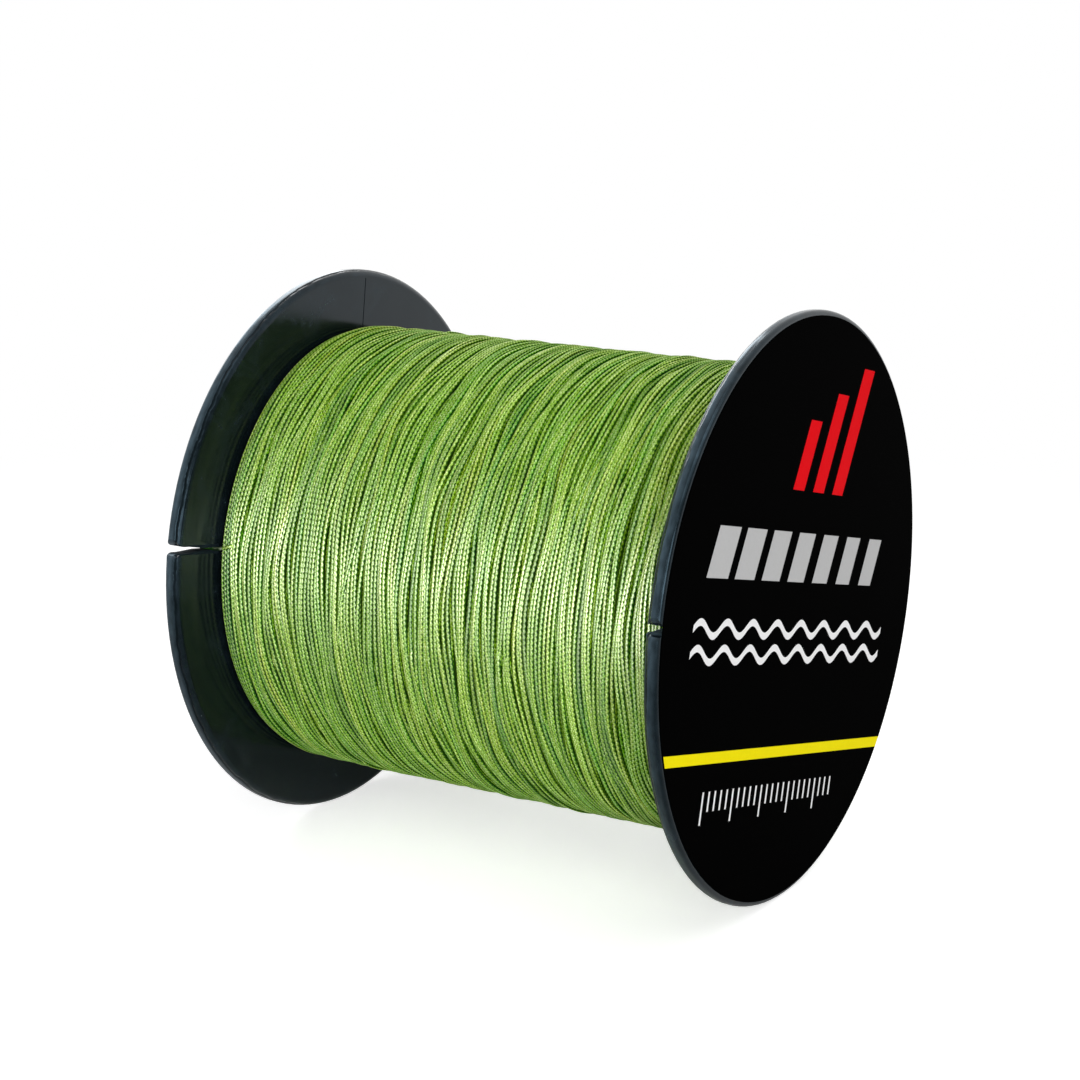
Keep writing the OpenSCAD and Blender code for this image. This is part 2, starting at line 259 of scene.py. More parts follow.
for half, gleam, dull_y, polished_y in POLISH:
    polystyrene, tree = material(f"black_polystyrene_moulded_{half}")
    place = add(tree, "TexCoord", out="Object")
    waves = add(tree, "TexNoise", {"Vector": place, "Scale": 1 / (FLOW_WAVE_MM * MM), "Detail": 1.0})
    # Round the rim the waves are drawn out along it, because the melt runs together there.
    long = add(tree, "VectorMath", {0: place, 1: (1.0, RIM_WAVE_SQUEEZE, 1.0)}, operation="MULTIPLY")
    long = add(tree, "TexNoise", {"Vector": long, "Scale": 1 / (RIM_WAVE_MM * MM), "Detail": 1.0})
    waves = add(tree, "Math", {0: long, 1: RIM_WAVE_SHARE, 2: waves}, operation="MULTIPLY_ADD")
    scuff = add(tree, "TexNoise", {"Vector": place, "Scale": 1 / (SCUFF_MM * MM), "Detail": 5.0,
                                   "Roughness": 0.62, "Distortion": 0.8})
    scuff = add(tree, "MapRange", {"Value": scuff, "From Min": SCUFF_REACH[0],
                                   "From Max": SCUFF_REACH[1]})
    black = add(tree, "Mix", {0: scuff, 6: linear(PLASTIC_BLACK), 7: linear(PLASTIC_SCUFF)}, out=2,
                data_type="RGBA")
    speck = add(tree, "TexVoronoi", {"Vector": place, "Scale": 1 / (DUST_CELL_MM * MM), "Randomness": 1.0})
    speck = add(tree, "MapRange", {"Value": speck, "From Min": DUST_SPECK_MM / DUST_CELL_MM,
                                   "From Max": DUST_SPECK_CORE * DUST_SPECK_MM / DUST_CELL_MM})
    patch = add(tree, "TexNoise", {"Vector": place, "Scale": 1 / (DUST_PATCH_MM * MM), "Detail": 2.0})
    patch = add(tree, "MapRange", {"Value": patch, "From Min": DUST_PATCH_REACH[0],
                                   "From Max": DUST_PATCH_REACH[1]})
    speck = add(tree, "Math", {0: speck, 1: patch}, operation="MULTIPLY")
    colour = add(tree, "Mix", {0: speck, 6: black, 7: linear(DUST_PALE)}, out=2, data_type="RGBA")
    gloss = add(tree, "MapRange", {"Value": scuff, "To Min": ROUGHNESS_POLISHED,
                                   "To Max": ROUGHNESS_SCUFFED})
    # The slit's walls are left as cut, so they are matt.
    along = add(tree, "VectorMath", {0: place, 1: SLIT_ALONG}, out="Value", operation="DOT_PRODUCT")
    across = add(tree, "VectorMath", {0: place, 1: SLIT_ACROSS}, out="Value", operation="DOT_PRODUCT")
    along = add(tree, "Math", {0: along, 1: SLIT_FROM_MM * MM}, operation="GREATER_THAN")
    across = add(tree, "Math", {0: across}, operation="ABSOLUTE")
    across = add(tree, "Math", {0: across, 1: SLIT_HALF_MM * MM}, operation="LESS_THAN")
    walls = add(tree, "Math", {0: along, 1: across}, operation="MULTIPLY")
    gloss = add(tree, "Math", {0: walls, 1: gloss}, operation="MAXIMUM")
    # The rim lost some polish to handling: it mirrors less towards one side and in mottled lengths.
    # Where the mould's two parts met there is a shallow groove, which wanders a little.
    out = add(tree, "VectorMath", {0: place, 1: (1.0, 0.0, 1.0)}, operation="MULTIPLY")
    out = add(tree, "VectorMath", {0: out}, out="Value", operation="LENGTH")
    on_rim = add(tree, "Math", {0: out, 1: RIM_FROM_MM * MM}, operation="GREATER_THAN")
    deep = add(tree, "SeparateXYZ", {0: place}, out="Y")
    deep = add(tree, "Math", {0: deep}, operation="ABSOLUTE")
    stray = add(tree, "TexNoise", {"Vector": place, "Scale": 1 / (PARTING_WANDER_LENGTH_MM * MM),
                                   "Detail": 3.0})
    stray = add(tree, "MapRange", {"Value": stray, "From Min": PARTING_WANDER_REACH[0],
                                   "From Max": PARTING_WANDER_REACH[1],
                                   "To Min": -PARTING_WANDER_MM * MM, "To Max": PARTING_WANDER_MM * MM})
    deep = add(tree, "Math", {0: deep, 1: stray})
    parting = add(tree, "Math", {0: deep, 1: PARTING_Y * MM}, operation="SUBTRACT")
    parting = add(tree, "Math", {0: parting}, operation="ABSOLUTE")
    parting = add(tree, "MapRange", {"Value": parting, "From Min": PARTING_HALF_MM[0] * MM,
                                     "From Max": PARTING_HALF_MM[1] * MM, "To Min": PARTING_LEVEL})
    kept = add(tree, "MapRange", {"Value": deep, "From Min": dull_y * MM, "From Max": polished_y * MM,
                                  "To Min": RIM_DULL_LEVEL})
    mottle = add(tree, "VectorMath", {0: place, 1: (1.0, RIM_MOTTLE_SQUEEZE, 1.0)}, operation="MULTIPLY")
    mottle = add(tree, "TexNoise", {"Vector": mottle, "Scale": 1 / (RIM_MOTTLE_MM * MM), "Detail": 3.0})
    mottle = add(tree, "MapRange", {"Value": mottle, "From Min": RIM_MOTTLE_REACH[0],
                                    "From Max": RIM_MOTTLE_REACH[1], "To Min": RIM_MOTTLE_LEVEL})
    kept = add(tree, "Math", {0: kept, 1: mottle}, operation="MULTIPLY")
    kept = add(tree, "Math", {0: kept, 1: parting}, operation="MULTIPLY")
    kept = add(tree, "Mix", {0: on_rim, 2: gleam, 3: kept}, out=0)
    mirror = add(tree, "Mix", {0: kept, 6: (0, 0, 0, 1), 7: linear(GLOSS_BLUE)}, out=2,
                 data_type="RGBA")
    relief = add(tree, "Bump", {"Height": waves, "Strength": 0.5, "Distance": WAVE_DEPTH_MM * MM})
    relief = add(tree, "Bump", {"Height": parting, "Strength": 1.0, "Distance": PARTING_DEPTH_MM * MM,
                                "Normal": relief})
    shade = add(tree, "BsdfPrincipled", {"Base Color": colour, "Roughness": gloss, "Normal": relief,
                                         "IOR": POLYSTYRENE_IOR, "Specular IOR Level": 1.0,
                                         "Specular Tint": mirror})
    add(tree, "OutputMaterial", {"Surface": shade})
    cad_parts[half].data.materials.clear()
    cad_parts[half].data.materials.append(polystyrene)

# ---------------------------------------------------------------- label
# A die-cut disc of black polyester film is stuck on the front flange. Its print is screen ink:
# a yellow stripe across the whole label, and a plain pattern of bars, blocks, waves and ticks.
LABEL_FACE_Y = -32.12
LABEL_R = 33.35
PRINT_TURN = np.radians(13.2)
FILM_BLACK = "#030303"
FILM_DEEP = "#010101"
FILM_GRAIN_MM = 0.5
FILM_GRAIN_DEPTH_MM = 0.01
FILM_ROUGHNESS = (0.4, 0.55)
INK_DEPTH = (-0.01, 0.015)
INK_MOTTLE_MM = 0.35
INK_MOTTLE = (0.95, 1.03)
INK_RED = "#e8000f"
INK_GREY = "#c1c1c1"
INK_WHITE = "#f7f7f7"
INK_YELLOW = "#fcec01"
# The print's places and sizes in its own turned frame. A wave's and a bar's foot is its lower edge.
STRIPE_FOOT, STRIPE_H = -16.75, 1.25
BAR_LEFT, BAR_STEP, BAR_FOOT, BAR_W = -6.0, 5.5, 13.5, 3.0
BAR_HEIGHTS = (8.0, 11.5, 15.0)
BLOCK_LEFT, BLOCK_STEP, BLOCK_FOOT, BLOCK_H = -25.0, 6.9, 3.2, 5.6
BLOCK_COUNT, BLOCK_W, BLOCK_NARROWER = 7, 5.2, 0.25
WAVE_LEFT, WAVE_RIGHT, WAVE_FEET = -26.5, 25.5, (-2.6, -5.4)
WAVE_SWING, WAVE_LENGTH, WAVE_H = 0.75, 6.5, 0.8
TICK_COUNT, TICK_LEFT, TICK_STEP, TICK_W = 24, -19.0, 1.5, 0.35
TICK_LONG_EVERY, TICK_FEET, TICK_HEIGHTS = 5, (-22.0, -23.4), (2.2, 3.6)

# The film is matt laminated and mirrors hardly anything, which an IOR just over 1 stands for.
film, tree = material("black_polyester_film")
place = add(tree, "TexCoord", out="Object")
grain = add(tree, "TexNoise", {"Vector": place, "Scale": 1 / (FILM_GRAIN_MM * MM), "Detail": 3.0})
tone = add(tree, "Mix", {0: grain, 6: linear(FILM_DEEP), 7: linear(FILM_BLACK)}, out=2,
           data_type="RGBA")
satin = add(tree, "MapRange", {"Value": grain, "To Min": FILM_ROUGHNESS[0], "To Max": FILM_ROUGHNESS[1]})
relief = add(tree, "Bump", {"Height": grain, "Strength": 0.2, "Distance": FILM_GRAIN_DEPTH_MM * MM})
shade = add(tree, "BsdfPrincipled", {"Base Color": tone, "Roughness": satin, "Normal": relief,
                                     "IOR": 1.03, "Specular IOR Level": 0.2})
add(tree, "OutputMaterial", {"Surface": shade})
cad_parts["front_label"].data.materials.clear()
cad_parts["front_label"].data.materials.append(film)


def printed(name, strips, ink):
    """Thin closed pads of ink on the label's face. A strip is two edges of equal counts of points
    (along, up) in the print's own turned frame. Its four long edges are the two edges, once sunk in
    the film and once standing proud of it, and a face closes each end."""
    points, faces = [], []
    for lower, upper in strips:
        base, count = sum(len(p) for p in points), len(lower)
        for edge, depth in ((lower, 0), (upper, 0), (upper, 1), (lower, 1)):
            along, up = np.asarray(edge).T
            x = along * np.cos(PRINT_TURN) + up * np.sin(PRINT_TURN)
            z = up * np.cos(PRINT_TURN) - along * np.sin(PRINT_TURN)
            y = np.full(count, LABEL_FACE_Y - INK_DEPTH[depth])
            points.append(np.stack([x, y, z], 1))
        for edge in range(4):
            low, high = base + edge * count, base + (edge + 1) % 4 * count
            i = np.arange(count - 1)
            faces += np.stack([low + i, low + i + 1, high + i + 1, high + i], 1).tolist()
        ends = base + count * np.arange(4)
        faces += [ends.tolist(), (ends + count - 1).tolist()]
    made = solid(name, np.concatenate(points), faces)
    made.data.materials.append(ink)
    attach(made, "root")


def screen_ink(name, colour):
    """Screen ink: opaque and satin, with the fine mottle of ink pressed through a mesh."""
    made, tree = material(name)
    place = add(tree, "TexCoord", out="Object")
    mottle = add(tree, "TexNoise", {"Vector": place, "Scale": 1 / (INK_MOTTLE_MM * MM), "Detail": 2.0})
    value = add(tree, "MapRange", {"Value": mottle, "To Min": INK_MOTTLE[0], "To Max": INK_MOTTLE[1]})
    tone = add(tree, "HueSaturation", {"Color": linear(colour), "Value": value})
    shade = add(tree, "BsdfPrincipled", {"Base Color": tone, "Roughness": 0.5,
                                         "Specular IOR Level": 0.02})
    add(tree, "OutputMaterial", {"Surface": shade})
    return made


def slanted(along, up, width, height, lean=0.32):
    """A leaning bar from its lower left corner: its upper edge is shifted by lean times its height."""
    lower = [(along, up), (along + width, up)]
    upper = [(along + lean * height, up + height), (along + width + lean * height, up + height)]
    return lower, upper


def across_label(up, thick, count=80):
    """A stripe over the whole label: each edge runs between its two points on the label's circle."""
    edges = []
    for b in (up, up + thick):
        a = np.sqrt(LABEL_R ** 2 - b ** 2)
        edges.append(np.stack([np.linspace(-a, a, count), np.full(count, b)], 1))
    return edges


def wave(start, end, up, swing, length, thick, count=240):
    """A wavy line: up + swing sin(2 pi along / length), with its two edges thick apart."""
    a = np.linspace(start, end, count)
    b = up + swing * np.sin(2 * np.pi * (a - start) / length)
    return np.stack([a, b], 1), np.stack([a, b + thick], 1)


stripe = across_label(STRIPE_FOOT, STRIPE_H)
bars = [slanted(BAR_LEFT + BAR_STEP * i, BAR_FOOT, BAR_W, high) for i, high in enumerate(BAR_HEIGHTS)]
blocks = [slanted(BLOCK_LEFT + BLOCK_STEP * i, BLOCK_FOOT, BLOCK_W - BLOCK_NARROWER * i, BLOCK_H)
          for i in range(BLOCK_COUNT)]
two_waves = [wave(WAVE_LEFT, WAVE_RIGHT, foot, WAVE_SWING, WAVE_LENGTH, WAVE_H) for foot in WAVE_FEET]
ticks = []
for i in range(TICK_COUNT):
    kind = int(i % TICK_LONG_EVERY == 0)
    ticks.append(slanted(TICK_LEFT + TICK_STEP * i, TICK_FEET[kind], TICK_W, TICK_HEIGHTS[kind], lean=0.0))
printed("print_yellow", [stripe], screen_ink("yellow_screen_ink", INK_YELLOW))
printed("print_red", bars, screen_ink("red_screen_ink", INK_RED))
printed("print_grey", blocks, screen_ink("grey_screen_ink", INK_GREY))
printed("print_white", two_waves + ticks, screen_ink("white_screen_ink", INK_WHITE))

# ---------------------------------------------------------------- arbor tape
# A strip of cream crepe masking tape holds the line's start on the drum. Its fine ridges run
# across the strip. The wound line hides it.
CREPE_MM = 0.6
CREPE_DEPTH_MM = 0.05
CREPE_FURROW_SHADED = "#cdbf90"
CREPE_RIDGE = "#e8dcb4"

crepe, tree = material("cream_crepe_tape")
place = add(tree, "TexCoord", out="Object")
ridges = add(tree, "TexNoise", {"Vector": place, "Scale": 1 / (CREPE_MM * MM), "Detail": 3.0})
# The furrows are painted darker than the ridges: painted shade.
tone = add(tree, "Mix", {0: ridges, 6: linear(CREPE_FURROW_SHADED), 7: linear(CREPE_RIDGE)}, out=2,
           data_type="RGBA")
relief = add(tree, "Bump", {"Height": ridges, "Strength": 0.6, "Distance": CREPE_DEPTH_MM * MM})
shade = add(tree, "BsdfPrincipled", {"Base Color": tone, "Roughness": 0.75, "Normal": relief})
add(tree, "OutputMaterial", {"Surface": shade})
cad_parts["arbor_tape"].data.materials.clear()
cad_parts["arbor_tape"].data.materials.append(crepe)

# ---------------------------------------------------------------- packed line under the turns
# Some 500 m of line lie on the drum under the turns that show. It's a smooth ring here, painted in the
# deep green of line in shade, with painted shade in the grooves between its turns, and only shows at
# the bottom of the widest gaps and beside the flanges.
WIND_R = 27.2
WIND_HALF = 29.9
END_FALL = 0.8
END_L = 3.0
# The line is drawn thicker than its 0.23 mm, so that its turns and stitches show.
LINE_W = 0.47
LINE_T = 0.37
CORE_R = 21.4
CORE_UNDER = 0.45
CORE_SHORTER = 0.12
CORE_PLACES = 61
CORE_STEPS = 180
PACKED_RELIEF_MM = 0.1
PACKED_TURN_SHADED = "#33550f"
PACKED_GAP_SHADE = "#142a04"


def wound_radius(y):
    """Radius over the wound line: constant, and at each end it falls with the square of the distance
    from where the rounded end starts."""
    return WIND_R - END_FALL * np.maximum(0, (np.abs(y) - (WIND_HALF - END_L)) / END_L) ** 2


def revolved(name, profile, count):
    """Carries a closed profile of (radius, y) points round the axis in count steps: a point stands
    at (r cos t, y, r sin t)."""
    r, y = np.asarray(profile).T
    t = np.arange(count)[:, None] * 2 * np.pi / count
    points = np.stack([r * np.cos(t), y + 0 * t, r * np.sin(t)], 2).reshape(-1, 3)
    i, j = np.meshgrid(np.arange(count), np.arange(len(r)), indexing="ij")
    i2, j2 = (i + 1) % count, (j + 1) % len(r)
    faces = np.stack([i * len(r) + j, i2 * len(r) + j, i2 * len(r) + j2, i * len(r) + j2], 2)
    made = solid(name, points, faces.reshape(-1, 4))
    made.data.shade_smooth()
    return made


core_y = np.linspace(-WIND_HALF + CORE_SHORTER, WIND_HALF - CORE_SHORTER, CORE_PLACES)
core_profile = [*zip(wound_radius(core_y) - CORE_UNDER, core_y), (CORE_R, core_y[-1]), (CORE_R, core_y[0])]
core = revolved("line_packed_under", core_profile, CORE_STEPS)

packed, tree = material("packed_braided_line")
place = add(tree, "TexCoord", out="Object")
apart = add(tree, "SeparateXYZ", {0: place}, out="Y")
turns = add(tree, "Math", {0: apart, 1: 2 * np.pi / (LINE_W * MM)}, operation="MULTIPLY")
turns = add(tree, "Math", {0: turns}, operation="SINE")
turns = add(tree, "MapRange", {"Value": turns, "From Min": -1.0})
# The grooves between turns are painted darker than the turns: painted shade.
tone = add(tree, "Mix", {0: turns, 6: linear(PACKED_GAP_SHADE), 7: linear(PACKED_TURN_SHADED)}, out=2,
           data_type="RGBA")
relief = add(tree, "Bump", {"Height": turns, "Strength": 0.8, "Distance": PACKED_RELIEF_MM * MM})
shade = add(tree, "BsdfPrincipled", {"Base Color": tone, "Roughness": 0.8, "Normal": relief,
                                     "Specular IOR Level": 0.03})
add(tree, "OutputMaterial", {"Surface": shade})
core.data.materials.append(packed)
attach(core, "root")
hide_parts("line_inner_layers")

# ---------------------------------------------------------------- braided line, turn by turn
# The line is dyed polyethylene fibre, braided of eight strands and 0.23 mm thick, and lies flat. The
# winder lays it turn beside turn under light tension, so turns wander, bunch, gape and ride up.
BRAID_IOR = 1.53
BRAID_SPECULAR = 0.07
LINE_SHADE = "#184a00"
LINE_DEEP = "#417507"
LINE_MID = "#89b840"
LINE_PALE_HIGHLIGHT = "#e9fcb8"
GLOSS_PALE = "#f6ffe6"
PICK_MM = 0.62
COLUMNS = 4.0
STITCH_SLANT = 0.7
STITCH_SIDE_FALL = 2.4
STITCH_RELIEF_MM = 0.008
# How dark the line is painted between its stitches and on their crowns: painted shade.
STITCH_PAINTED_SHADE = (0.6, 0.98)
STITCH_SPREAD = (0.88, 1.12)
STITCH_ROUGHNESS = 0.08
ZIGZAG = 0.065
CROWN_REACH = (0.38, 0.97)
CROWN_TOP = 1.05
GAP_ROUGHNESS = 0.45
GAP_BELOW = 0.6
# Hue, richness, value and roughness at the low and the high end of the dye attribute, which
# holds the line's dye together with painted light and shade.
DYE_HUE = (0.51, 0.48)
DYE_RICH = (1.18, 1.0)
DYE_VALUE = (0.04, 1.28)
DYE_VALUE_FROM = -0.9
DYE_ROUGHNESS = (0.56, 0.34)
DYE_LOT_MM = 45.0
DYE_LOT_HUE = 0.022

# The fibre is slick and slightly see-through, so a turn glints softly along its crown. The crown is
# also painted pale, a painted highlight, and the flanks and gaps are painted deep green, painted
# shade. The stitches are drawn coarser than the real ones, so that they show.
braid, tree = material("dyed_braided_polyethylene")
uv = add(tree, "UVMap", uv_map="UVMap")
along = add(tree, "SeparateXYZ", {0: uv}, out="X")
around = add(tree, "SeparateXYZ", {0: uv}, out="Y")
# Four columns of stitches stand round the line, each slanting the other way from its neighbours.
column = add(tree, "Math", {0: around, 1: COLUMNS}, operation="MULTIPLY")
column_i = add(tree, "Math", {0: column}, operation="FLOOR")
within = add(tree, "Math", {0: column}, operation="FRACT")
odd = add(tree, "Math", {0: column_i, 1: 2.0}, operation="MODULO")
slant = add(tree, "Math", {0: column, 1: 1.0}, operation="PINGPONG")
phase = add(tree, "Math", {0: along, 1: PICK_MM}, operation="DIVIDE")
phase = add(tree, "Math", {0: slant, 1: STITCH_SLANT, 2: phase}, operation="MULTIPLY_ADD")
phase = add(tree, "Math", {0: odd, 1: 0.5, 2: phase}, operation="MULTIPLY_ADD")
stitch_i = add(tree, "Math", {0: phase}, operation="FLOOR")
stitch = add(tree, "Math", {0: phase}, operation="FRACT")
# A stitch is high in its middle and falls off towards its ends and its column's edges.
hump = add(tree, "Math", {0: stitch, 1: 2 * np.pi}, operation="MULTIPLY")
hump = add(tree, "Math", {0: hump}, operation="COSINE")
hump = add(tree, "Math", {0: hump, 1: -0.5, 2: 0.5}, operation="MULTIPLY_ADD")
side = add(tree, "Math", {0: within, 1: 0.5}, operation="SUBTRACT")
side = add(tree, "Math", {0: side, 1: side}, operation="MULTIPLY")
side = add(tree, "Math", {0: side, 1: -STITCH_SIDE_FALL, 2: 1.0}, operation="MULTIPLY_ADD")
height = add(tree, "Math", {0: hump, 1: side}, operation="MULTIPLY")
cell = add(tree, "CombineXYZ", {0: stitch_i, 1: column_i})
chance = add(tree, "TexWhiteNoise", {"Vector": cell}, noise_dimensions="3D")
dye_and_painted_light = add(tree, "Attribute", out="Fac", attribute_name="dye_and_painted_light")
# The flanks of a turn are painted dark, as painted shade from its neighbours, and the line is
# painted darker between stitches, painted shade.
zigzag = add(tree, "Math", {0: along, 1: 2 * np.pi / PICK_MM}, operation="MULTIPLY")
zigzag = add(tree, "Math", {0: zigzag}, operation="SINE")
flank = add(tree, "Math", {0: zigzag, 1: ZIGZAG, 2: around}, operation="MULTIPLY_ADD")
flank = add(tree, "Math", {0: flank, 1: 2 * np.pi}, operation="MULTIPLY")
flank = add(tree, "Math", {0: flank}, operation="COSINE")
crown = add(tree, "MapRange", {"Value": flank, "From Min": CROWN_REACH[0], "From Max": CROWN_REACH[1],
                               "To Max": CROWN_TOP})
depth = add(tree, "MapRange", {"Value": height, "To Min": STITCH_PAINTED_SHADE[0], "To Max": STITCH_PAINTED_SHADE[1]})
depth = add(tree, "Math", {0: depth, 1: crown}, operation="MULTIPLY")
spread = add(tree, "MapRange", {"Value": chance, "To Min": STITCH_SPREAD[0], "To Max": STITCH_SPREAD[1]})
depth = add(tree, "Math", {0: depth, 1: spread}, operation="MULTIPLY")
# The tone runs from painted shade on the flanks and between stitches to a pale painted highlight on the
# stitches' crowns.
tone = add(tree, "ValToRGB", {0: depth}, stops=[
    (0.0, linear(LINE_SHADE)), (0.35, linear(LINE_DEEP)), (0.66, linear(LINE_MID)),
    (0.95, linear(LINE_PALE_HIGHLIGHT))])
bared = add(tree, "MapRange", {"Value": crown, "From Min": -0.05})
sheen = add(tree, "Mix", {0: bared, 6: linear(LINE_SHADE), 7: linear(GLOSS_PALE)}, out=2,
            data_type="RGBA")
hue = add(tree, "MapRange", {"Value": dye_and_painted_light, "To Min": DYE_HUE[0], "To Max": DYE_HUE[1]})
# The dye also turns from yellowish to bluish green and back along the line.
lot = add(tree, "Math", {0: along, 1: DYE_LOT_MM}, operation="DIVIDE")
lot = add(tree, "TexNoise", {"W": lot, "Scale": 1.0, "Detail": 2.0}, noise_dimensions="1D")
lot = add(tree, "MapRange", {"Value": lot, "From Min": 0.25, "From Max": 0.75,
                             "To Min": -DYE_LOT_HUE, "To Max": DYE_LOT_HUE})
hue = add(tree, "Math", {0: hue, 1: lot}, operation="ADD")
rich = add(tree, "MapRange", {"Value": dye_and_painted_light, "To Min": DYE_RICH[0], "To Max": DYE_RICH[1]})
# The dye attribute also holds painted light and shade, so its value darkens line painted in shade and
# lightens line painted lit.
value = add(tree, "MapRange", {"Value": dye_and_painted_light, "From Min": DYE_VALUE_FROM,
                               "To Min": DYE_VALUE[0], "To Max": DYE_VALUE[1]})
tone = add(tree, "HueSaturation", {"Hue": hue, "Saturation": rich, "Value": value, "Color": tone})
gloss = add(tree, "MapRange", {"Value": dye_and_painted_light, "To Min": DYE_ROUGHNESS[0], "To Max": DYE_ROUGHNESS[1]})
gloss = add(tree, "Math", {0: chance, 1: STITCH_ROUGHNESS, 2: gloss}, operation="MULTIPLY_ADD")
dull = add(tree, "MapRange", {"Value": depth, "From Max": GAP_BELOW, "To Min": GAP_ROUGHNESS,
                              "To Max": 0.0})
gloss = add(tree, "Math", {0: gloss, 1: dull}, operation="ADD")
relief = add(tree, "Bump", {"Height": height, "Strength": 1.0, "Distance": STITCH_RELIEF_MM * MM})
shade = add(tree, "BsdfPrincipled", {"Base Color": tone, "Roughness": gloss, "Normal": relief,
                                     "IOR": BRAID_IOR, "Specular IOR Level": BRAID_SPECULAR,
                                     "Specular Tint": sheen})
add(tree, "OutputMaterial", {"Surface": shade})


ROW_GAP, ROW_H = 0.06, 0.88
CAP_UV = np.array([0.001, 0.001])


def lay_line(name, path, out, across, along, dye_and_painted_light, sides, rows):
    """Carries the line's flat oval along one or more paths. A ring's points stand at
    path + out cos(a) thickness / 2 + across sin(a) width / 2, and faces close both ends.
    UVMap holds millimetres along and turns around, and OFBake lays every path out in rows, which
    stand a little apart."""
    strands, rings = path.shape[:2]
    a = np.arange(sides) * 2 * np.pi / sides
    ring = (out[:, :, None] * np.cos(a)[:, None] * LINE_T / 2
            + across[:, :, None] * np.sin(a)[:, None] * LINE_W / 2)
    points = (path[:, :, None] + ring).reshape(-1, 3) * MM
    s, i, j = np.meshgrid(np.arange(strands), np.arange(rings - 1), np.arange(sides), indexing="ij")
    step_i = np.array([0, 0, 1, 1])
    step_j = np.array([0, 1, 1, 0])
    ci = i[..., None] + step_i
    cj = j[..., None] + step_j
    quads = (s[..., None] * rings + ci) * sides + cj % sides
    caps = np.arange(strands)[:, None] * rings * sides + np.arange(sides)
    caps = np.stack([caps[:, ::-1], caps + (rings - 1) * sides], 1)
    loops = np.concatenate([quads.ravel(), caps.ravel()])
    sizes = np.concatenate([np.full(quads.size // 4, 4), np.full(2 * strands, sides)])
    starts = np.concatenate([[0], np.cumsum(sizes)[:-1]])
    mesh = bpy.data.meshes.new(name)
    mesh.vertices.add(len(points))
    mesh.vertices.foreach_set("co", points.astype(np.float32).ravel())
    mesh.loops.add(len(loops))
    mesh.loops.foreach_set("vertex_index", loops.astype(np.int32))
    mesh.polygons.add(len(sizes))
    mesh.polygons.foreach_set("loop_start", starts.astype(np.int32))
    mesh.update(calc_edges=True)
    u = along[s[..., None], ci]
    v = cj / sides
    per_row = (rings - 1) / rows
    row = np.floor(i[..., None] / per_row) + s[..., None] * rows
    bake_u = ci / per_row - np.floor(i[..., None] / per_row)
    bake_v = (row + ROW_GAP + ROW_H * v) / (strands * rows)
    for layer, (x, y) in (("UVMap", (u, v)), ("OFBake", (bake_u, bake_v))):
        ends = np.zeros((caps.size, 2)) + CAP_UV * (np.arange(caps.size)[:, None] % 2)
        values = np.concatenate([np.stack([x.ravel(), y.ravel()], 1), ends])
        mesh.uv_layers.new(name=layer).data.foreach_set("uv", values.astype(np.float32).ravel())
    dye_and_painted_light_layer = mesh.attributes.new("dye_and_painted_light", "FLOAT", "POINT")
    dye_and_painted_light_layer.data.foreach_set("value", np.repeat(dye_and_painted_light.ravel(), sides).astype(np.float32))
    mesh.shade_smooth()
    made = bpy.data.objects.new(name, mesh)
    bpy.context.scene.collection.objects.link(made)
    made.data.materials.append(braid)
    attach(made, "root")
    return made


def eased(x):
    """0 up to x = 0, 1 from x = 1, and 3 x^2 - 2 x^3 between."""
    x = np.clip(x, 0, 1)
    return x * x * (3 - 2 * x)


def ripples(rng, count, swing, waves, rounds):
    """Chooses count sine waves over the winding: amplitudes up to swing, waves per millimetre along
    the axis between two limits, whole waves round the axis up to rounds, and a phase each."""
    return (swing * rng.uniform(LEAST_SWING, 1.0, count), rng.uniform(*waves, count),
            rng.integers(-rounds, rounds + 1, count), rng.uniform(0, 2 * np.pi, count))


def sway(y, t, chosen):
    """Sum of the chosen waves at the place y along the axis and the angle t about it."""
    swing, waves, rounds, phase = (c[:, None] for c in chosen)
    return (swing * np.sin(2 * np.pi * waves * y + rounds * t + phase)).sum(0)


def drift(rng, turn, reach, swing):
    """A chance level up to swing every reach turns of the line, eased from one to the next."""
    levels = rng.uniform(-swing, swing, int(turn.max() / reach) + 3)
    at = turn / reach
    i = np.floor(at).astype(int)
    return levels[i] + (levels[i + 1] - levels[i]) * eased(at - i)


def helix(rng, turns, rings, drop, swings, way):
    """Centres, outward and sidewise directions of a wound layer. Turn n at the angle t stands at
    y = y0 + pitch n + sway(y, t) + drift(n), on the wound radius less drop and plus a small sway and
    drift of its own. Both fade out beside the flanges, and the layer's two ends dive inwards."""
    turn = np.arange(turns * rings + 1) / rings
    t = 2 * np.pi * turn
    edge = WIND_HALF - LINE_W / 2 - EDGE_GAP
    y = way * (-edge + 2 * edge * turn / turns)
    free = eased((edge - np.abs(y)) / CALM_MM)
    y_moved = y + free * sum(sway(y, t, ripples(rng, *s)) for s in swings)
    y_moved += free * sum(drift(rng, turn, *d) for d in STRAYING)
    y_moved = np.clip(y_moved, -edge, edge)
    lift = free * sum(drift(rng, turn, *d) for d in RIDING) + free * sway(y, t, ripples(rng, *SWELLS))
    dive = END_DIVE * (1 - eased(turn / DIVE_TURNS) + 1 - eased((turns - turn) / DIVE_TURNS))
    r = wound_radius(y_moved) - drop + lift - dive
    slope = (wound_radius(y_moved + SLOPE_STEP) - wound_radius(y_moved - SLOPE_STEP)) / (2 * SLOPE_STEP)
    size = np.hypot(1, slope)
    radial = np.stack([np.cos(t), 0 * t, np.sin(t)], 1)
    axial = np.array([0.0, 1.0, 0.0])
    out = (radial - axial * slope[:, None]) / size[:, None]
    across = (axial + radial * slope[:, None]) / size[:, None]
    path = radial * r[:, None] + axial * y_moved[:, None]
    return turn, path, out, across, lift


